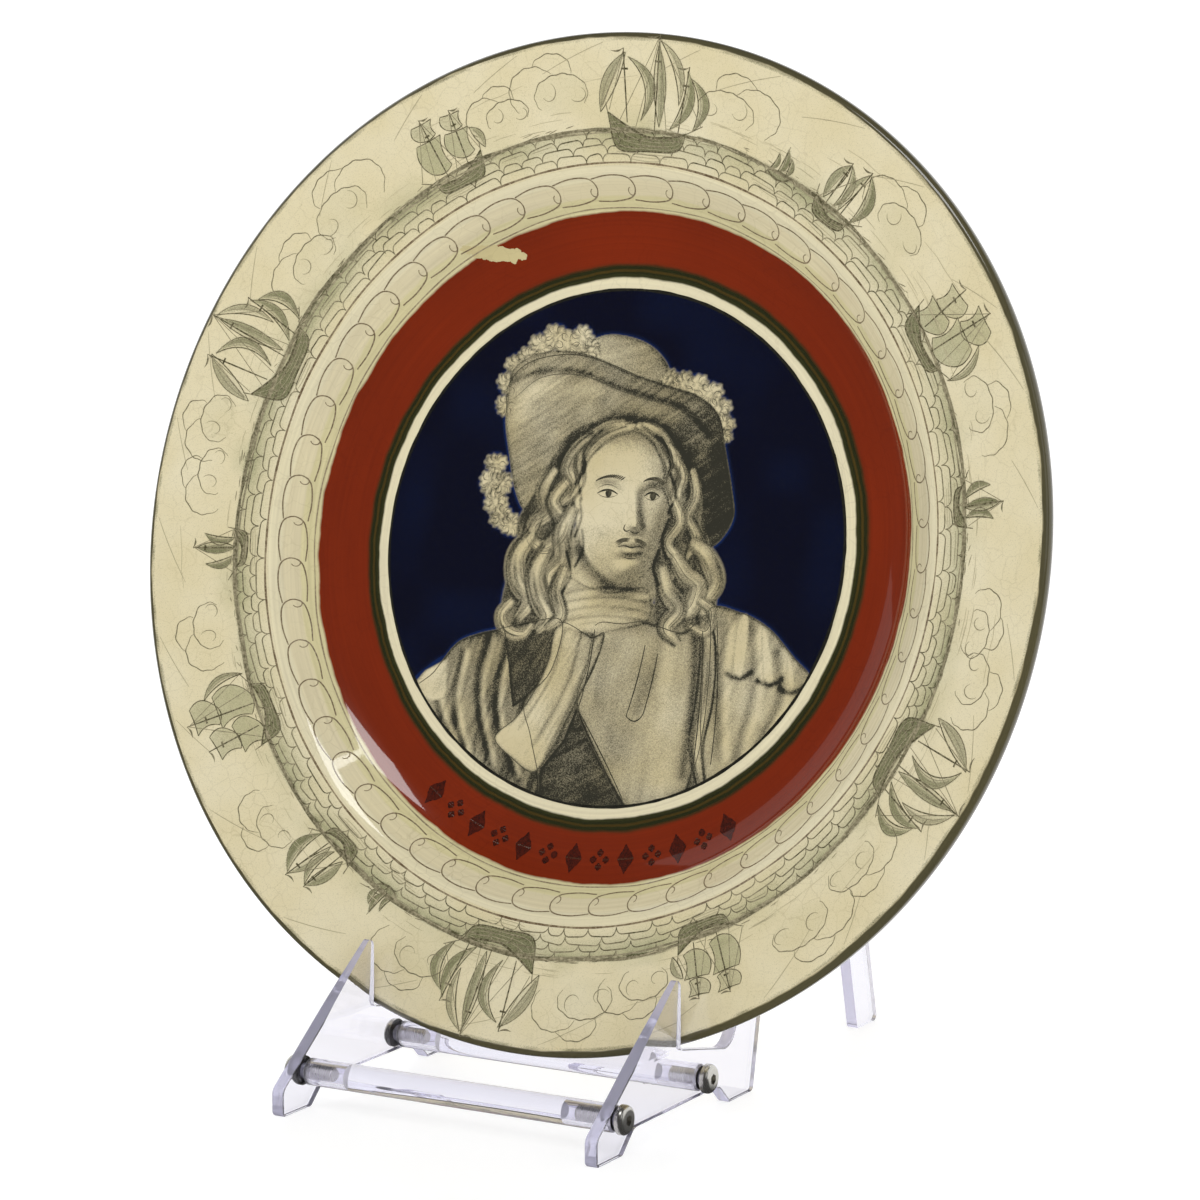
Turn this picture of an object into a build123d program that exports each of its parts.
from build123d import *
import os
from math import cos, radians, sin, sqrt, tan

# Folding clear-acrylic easel that displays one round ceramic plate. All lengths are millimetres.
# X runs across the stand, the plate faces -Y and leans back towards +Y, and +Z is up.
# The origin is on the table, in the middle of the whole object's footprint.

# ---- the plate: radii are worked inwards from its edge, depths back from the front of its lip ----
plate_radius = 133.35  # a 10.5 inch plate
plate_lean = 12.0  # degrees from upright
rim_width = 34.85  # from the edge in to the shoulder, where the wall starts
rim_drop = 9.2
wall_run = 14.5  # from the shoulder in to the corner of the well
well_depth = 22.0
wall_thickness = 4.2
lip_thickness = 4.4
lip_corner_rise = 0.55  # the lip's corner, before it is rounded, in front of the zero of the depths
shoulder_fillet = 12.0
well_fillet = 22.0
foot_ring_inset = 7.6  # from the back corner of the wall in to the foot ring
foot_ring_width = 5.0
foot_ring_height = 2.4  # how far the foot ring stands out behind the floor
foot_ring_fillet = 1.0

# ---- clearances ----
plate_gap = 0.2  # between the plate and what carries it
prong_gap = 0.4  # between the lip and the back of a prong
running_gap = 0.05  # radial, a rod in a hole that turns on it
thread_gap = 0.03  # radial, a screw or a rod in its own hole
side_gap = 0.05  # endwise, between pieces that turn against each other
stop_gap = 0.1  # between the leg's heel and the stop bar

# ---- the folding leg ----
leg_thickness = 3.2
leg_width = 12.0
leg_spread = 14.0  # degrees from upright, standing open
leg_tie_height = 30.0  # above the foot, along the leg
leg_screw_radius = 1.5
leg_screw_head_radius = 3.0
leg_socket_flats = 2.0
foot_fillet = 1.5

# ---- the two side rails ----
rail_spacing = 91.5  # from the middle of one rail to the middle of the other
rail_thickness = 3.6
rail_margin = 1.0  # how far a rail reaches past the folded leg, in front and behind
rail_top = 68.0  # how far the rails reach above the plate's centre, along the lean
seat_height = 20.0  # above the table, where the lip rests
seat_fillet = 6.0
prong_height = 17.4  # above the seat, along the lean
prong_back_slope = 5.0  # degrees from upright
prong_front_slope = 53.8  # degrees from upright
prong_tip_radius = 1.7
prong_tip_thickness = 1.7
toe_height = 7.0
toe_fillet = 3.0
foot_length = 13.0
arch_height = 5.5
arch_run = 6.0  # how far the arch takes to rise
edge_round = 0.5  # the polished corners of cut edges

# ---- tie rods, stop bar and their screws ----
tie_radius = 3.5
tie_height = 9.5  # above the table
toe_tie_inset = 12.0  # behind the front of the toe
base_tie_offset = 12.0  # in front of the rails' front edge, at the table
stop_bar_size = 8.0
screw_radius = 2.0
screw_length = 12.0
screw_head_radius = 3.8
screw_head_height = 2.2
socket_flats = 2.5
socket_depth = 1.2

# ---- the hinge ----
hinge_drop = 20.0  # from the top of the rails down to the hinge's axis, along the lean
hinge_rod_radius = 2.0
nut_flats = 7.0
nut_height = 3.2
nut_dome_radius = 3.1
washer_radius = 4.6
washer_thickness = 0.7
spacer_radius = 4.0

lean = radians(plate_lean)
spread = radians(leg_spread)
back_slope = radians(prong_back_slope)
front_slope = radians(prong_front_slope)

# ---- places across the stand, from its middle ----
half_spacing = rail_spacing / 2
rail_inner_x = half_spacing - rail_thickness / 2
rail_outer_x = half_spacing + rail_thickness / 2
leg_outer_x = rail_inner_x - washer_thickness - 2 * side_gap
leg_inner_x = leg_outer_x - leg_thickness
rod_stick_out = nut_height + nut_dome_radius / 2

# ---- places in the side view ----
# "up" is measured along the lean from the plate's centre, and "out" square to it, towards the front.
rail_width = leg_width + 2 * rail_margin
rail_front_out = -(well_depth + wall_thickness + foot_ring_height + plate_gap)
rail_back_out = rail_front_out - rail_width
seat_up = -sqrt(plate_radius**2 - rail_inner_x**2) - plate_gap
centre_z = seat_height - seat_up * cos(lean)


def side(up, out):
    """The (Y, Z) place that lies so far up the lean and so far out from the front of the lip."""
    return (up * sin(lean) - out * cos(lean), centre_z + up * cos(lean) + out * sin(lean))


def on_table(out):
    """The Y of the place on the table that lies so far out."""
    return side(-(centre_z + out * sin(lean)) / cos(lean), out)[0]


def up_slope(start, slope, height):
    """The (Y, Z) place that is so much higher along a line that leans back from start."""
    return (start[0] + height * tan(slope), start[1] + height)


rail_foot_back = on_table(rail_back_out)
hinge_up = rail_top - hinge_drop
hinge_out = (rail_front_out + rail_back_out) / 2
hinge = side(hinge_up, hinge_out)
stop_bar = side(hinge_up + leg_width / 2 + stop_gap + stop_bar_size / 2, hinge_out)

# The back of a prong passes just in front of the lip, and is more upright than the plate.
# Its round tip lies below the sharp corner that the two edges would make.
lip = side(seat_up + lip_thickness / 2, prong_gap)
seat_front = up_slope(lip, back_slope, -lip_thickness / 2)
tip_overshoot = prong_tip_radius * (1 / sin((front_slope - back_slope) / 2) - 1)
sharp_tip = up_slope(seat_front, back_slope, (prong_height + tip_overshoot) * cos(lean))
toe_front = sharp_tip[0] - (sharp_tip[1] - toe_height) * tan(front_slope)
toe_tie = (toe_front + toe_tie_inset, tie_height)
base_tie = (on_table(rail_front_out) - base_tie_offset, tie_height)


def extruded(face, low_x, high_x):
    """A face drawn on the YZ plane, made solid from low_x to high_x."""
    return Pos(low_x, 0, 0) * extrude(face, high_x - low_x)


def disc(place, radius, low_x, high_x):
    """A round bar along X at a (Y, Z) place."""
    return extruded(Plane.YZ * (Pos(*place) * Circle(radius)), low_x, high_x)


def ring(place, outer_radius, inner_radius, low_x, high_x):
    """A washer or a sleeve along X at a (Y, Z) place."""
    return disc(place, outer_radius, low_x, high_x) - disc(place, inner_radius, low_x, high_x)


def outline(points, radii):
    """A closed face on the YZ plane, with a radius for each corner, or 0 for a sharp one."""
    return Plane.YZ * make_face(FilletPolyline(*points, radius=radii, close=True))


def facing_out(sign, face_x, place):
    """The location on an outer face at sign * face_x whose Z points away from the middle."""
    return Pos(sign * face_x, *place) * Rot(0, 90 * sign, 0)


def make_plate():
    """The plate: a turned body with a well, a sloping rim, a rolled lip and a foot ring."""
    shoulder = plate_radius - rim_width
    corner = shoulder - wall_run
    back_corner = corner + wall_thickness / 2
    back_floor = -(well_depth + wall_thickness)
    ring_out = back_corner - foot_ring_inset
    ring_in = ring_out - foot_ring_width
    points = [
        (0, -well_depth),
        (corner, -well_depth),
        (shoulder, -rim_drop),
        (plate_radius, lip_corner_rise),
        (plate_radius, lip_corner_rise - lip_thickness),
        (shoulder + wall_thickness / 2, -rim_drop - wall_thickness),
        (back_corner, back_floor),
        (ring_out, back_floor),
        (ring_out, back_floor - foot_ring_height),
        (ring_in, back_floor - foot_ring_height),
        (ring_in, back_floor),
        (0, back_floor),
    ]
    lip_fillet = 0.44 * lip_thickness
    radii = [well_fillet, shoulder_fillet, lip_fillet, lip_fillet, shoulder_fillet, 3 * foot_ring_fillet]
    radii += [foot_ring_fillet] * 4
    profile = FilletPolyline(*points, radius=radii)
    axis_side = Line(profile @ 1, profile @ 0)
    body = revolve(Plane.XZ * make_face(profile + axis_side), Axis.Z)
    return Pos(0, *side(0, 0)) * Rot(90 - plate_lean, 0, 0) * body


def make_rail(sign):
    """One side rail: its toe, prong, seat and leaning upright, in one piece of clear sheet."""
    top_fillet = rail_width / 2 - edge_round
    corners = [
        ((toe_front, 0), foot_fillet),
        ((toe_front, toe_height), toe_fillet),
        (sharp_tip, prong_tip_radius),
        (seat_front, foot_fillet),
        (side(seat_up, rail_front_out), seat_fillet),
        (side(rail_top, rail_front_out), top_fillet),
        (side(rail_top, rail_back_out), top_fillet),
        ((rail_foot_back, 0), foot_fillet),
        ((rail_foot_back - foot_length, 0), foot_fillet),
        ((rail_foot_back - foot_length - arch_run, arch_height), toe_fillet),
        ((toe_front + foot_length + arch_run, arch_height), toe_fillet),
        ((toe_front + foot_length, 0), foot_fillet),
    ]
    face = outline([place for place, _ in corners], [radius for _, radius in corners])
    rail = extruded(face, -rail_thickness / 2, rail_thickness / 2)
    rail = fillet(rail.faces().filter_by(Axis.X).edges(), edge_round)
    draft = prong_draft()
    rail = Pos(sign * half_spacing, 0, 0) * (rail - draft - mirror(draft, Plane.YZ))
    for place in (toe_tie, base_tie, stop_bar):
        rail -= disc(place, screw_radius + thread_gap, -rail_outer_x - 1, rail_outer_x + 1)
    return rail - disc(hinge, hinge_rod_radius + thread_gap, -rail_outer_x - 1, rail_outer_x + 1)


def prong_draft():
    """What is taken off one face of a rail, in front of the lip, so that its prong thins upwards."""
    base = seat_front[1]
    rise = prong_height * cos(lean)
    half = rail_thickness / 2
    # The slope is carried on above the tip, and stops on the sheet's middle plane.
    thinning = (rail_thickness - prong_tip_thickness) / 2 / rise
    wedge = Polyline((half, base), (half, base + half / thinning), (0, base + half / thinning), close=True)
    cut = extrude(Plane.XZ * make_face(wedge), sharp_tip[0] - toe_front + prong_tip_radius)
    return Pos(0, sharp_tip[0] + prong_tip_radius, 0) * cut


def down_leg(distance, forward):
    """The (Y, Z) place so far down the leg from the hinge, and so far in front of its middle."""
    return (
        hinge[0] + distance * sin(spread) - forward * cos(spread),
        hinge[1] - distance * cos(spread) - forward * sin(spread),
    )


leg_length = hinge[1] / cos(spread)
leg_tie = down_leg(leg_length - leg_tie_height, 0)


def make_leg(sign):
    """One arm of the folding leg. Its square heel bears on the stop bar when it stands open."""
    half = leg_width / 2
    foot_slope = half * tan(spread)
    blade = outline(
        [
            down_leg(0, half),
            down_leg(0, -half),
            down_leg(leg_length + foot_slope, -half),
            down_leg(leg_length - foot_slope, half),
        ],
        [0, 0, foot_fillet, foot_fillet],
    )
    # The heel's top lies flat under the bar, from above the hinge back to the leg's back edge.
    heel_length = half * tan((radians(90) - lean - spread) / 2)
    heel_front = side(hinge_up + half, hinge_out)
    heel_corner = side(hinge_up + half, hinge_out - heel_length)
    heel = Plane.YZ * make_face(Polyline(hinge, heel_front, heel_corner, down_leg(0, -half), close=True))
    head = Plane.YZ * (Pos(*hinge) * Circle(half))
    leg = extruded(blade + head + heel, min(0, sign * leg_thickness), max(0, sign * leg_thickness))
    leg = Pos(sign * leg_inner_x, 0, 0) * leg
    leg -= disc(hinge, hinge_rod_radius + running_gap, -leg_outer_x - 1, leg_outer_x + 1)
    leg -= disc(leg_tie, leg_screw_radius + thread_gap, -leg_outer_x - 1, leg_outer_x + 1)
    return leg - facing_out(sign, leg_outer_x, leg_tie) * flush_head(thread_gap)


def flush_head(gap):
    """The cone of a flush screw head, with its wide end at Z 0."""
    depth = leg_screw_head_radius - leg_screw_radius
    cone = Cone(leg_screw_radius + gap, leg_screw_head_radius + gap, depth)
    return Pos(0, 0, -depth / 2) * cone


def bore_ends(bar, place, half_length, hole_radius):
    """A bar with a screw hole in each end."""
    hole = disc(place, hole_radius, half_length - screw_length, half_length)
    return bar - hole - mirror(hole, Plane.YZ)


def make_tie(place, half_length, hole_radius):
    """A round bar that ties two side pieces together."""
    bar = disc(place, tie_radius, -half_length, half_length)
    bar = chamfer(bar.faces().filter_by(Axis.X).edges(), edge_round)
    return bore_ends(bar, place, half_length, hole_radius)


def make_stop_bar():
    """The square bar near the top of the rails that the leg's heels come to rest against."""
    bar = Box(2 * rail_inner_x, stop_bar_size, stop_bar_size)
    bar = fillet(bar.edges().filter_by(Axis.X), edge_round)
    bar = Pos(0, *stop_bar) * Rot(-plate_lean, 0, 0) * bar
    return bore_ends(bar, stop_bar, rail_inner_x, screw_radius + thread_gap)


def hex_prism(flats, height):
    """A hexagonal prism on Z 0, sized across its flats."""
    return extrude(RegularPolygon(flats / 2, 6, major_radius=False), height)


def make_screw(sign, place):
    """A button-head screw that goes through a rail into the end of a bar."""
    head = Pos(0, 0, screw_head_height / 2) * Cylinder(screw_head_radius, screw_head_height)
    head = fillet(head.edges().group_by(Axis.Z)[-1], screw_head_height * 0.6)
    shank = Pos(0, 0, -screw_length / 2) * Cylinder(screw_radius, screw_length)
    shank = chamfer(shank.edges().group_by(Axis.Z)[0], edge_round)
    socket = Pos(0, 0, screw_head_height - socket_depth) * hex_prism(socket_flats, socket_depth)
    return facing_out(sign, rail_outer_x, place) * (head + shank - socket)


def make_leg_screw(sign):
    """A flush screw that goes through a leg into the end of the leg's tie rod."""
    shank = Pos(0, 0, -screw_length / 2) * Cylinder(leg_screw_radius, screw_length)
    shank = chamfer(shank.edges().group_by(Axis.Z)[0], edge_round)
    socket = Pos(0, 0, -socket_depth) * hex_prism(leg_socket_flats, socket_depth)
    return facing_out(sign, leg_outer_x, leg_tie) * (shank + flush_head(0) - socket)


def make_nut(sign):
    """A domed nut on one end of the hinge rod."""
    upwards = (Align.CENTER, Align.CENTER, Align.MIN)
    dome = Pos(0, 0, nut_height) * Sphere(nut_dome_radius, arc_size1=0, align=upwards)
    hole = Pos(0, 0, rod_stick_out / 2) * Cylinder(hinge_rod_radius + thread_gap, rod_stick_out)
    return facing_out(sign, rail_outer_x, hinge) * (hex_prism(nut_flats, nut_height) + dome - hole)


def make_washer(sign):
    """A thin washer between a leg and a rail."""
    ends = (sign * (leg_outer_x + side_gap), sign * (rail_inner_x - side_gap))
    return ring(hinge, washer_radius, hinge_rod_radius + running_gap, min(ends), max(ends))


rod_end = rail_outer_x + rod_stick_out - thread_gap
spacer_end = leg_inner_x - side_gap
screw_hole_radius = screw_radius + thread_gap
parts = {
    "plate": make_plate(),
    "toe_tie_rod": make_tie(toe_tie, rail_inner_x, screw_hole_radius),
    "base_tie_rod": make_tie(base_tie, rail_inner_x, screw_hole_radius),
    "leg_tie_rod": make_tie(leg_tie, leg_inner_x, leg_screw_radius + thread_gap),
    "stop_bar": make_stop_bar(),
    "hinge_rod": disc(hinge, hinge_rod_radius, -rod_end, rod_end),
    "hinge_spacer": ring(hinge, spacer_radius, hinge_rod_radius + running_gap, -spacer_end, spacer_end),
}
for name, sign in (("left", -1), ("right", 1)):
    parts[f"rail_{name}"] = make_rail(sign)
    parts[f"leg_{name}"] = make_leg(sign)
    parts[f"toe_tie_screw_{name}"] = make_screw(sign, toe_tie)
    parts[f"base_tie_screw_{name}"] = make_screw(sign, base_tie)
    parts[f"stop_bar_screw_{name}"] = make_screw(sign, stop_bar)
    parts[f"leg_tie_screw_{name}"] = make_leg_screw(sign)
    parts[f"hinge_nut_{name}"] = make_nut(sign)
    parts[f"hinge_washer_{name}"] = make_washer(sign)

# The pieces are moved so that the origin is in the middle of the footprint.
footprint = Compound(list(parts.values())).bounding_box()
middle_y = (footprint.min.Y + footprint.max.Y) / 2
os.makedirs("parts", exist_ok=True)
for name, shape in parts.items():
    export_step(Pos(0, -middle_y, 0) * shape, f"parts/{name}.step")
print("overall size", footprint.size)
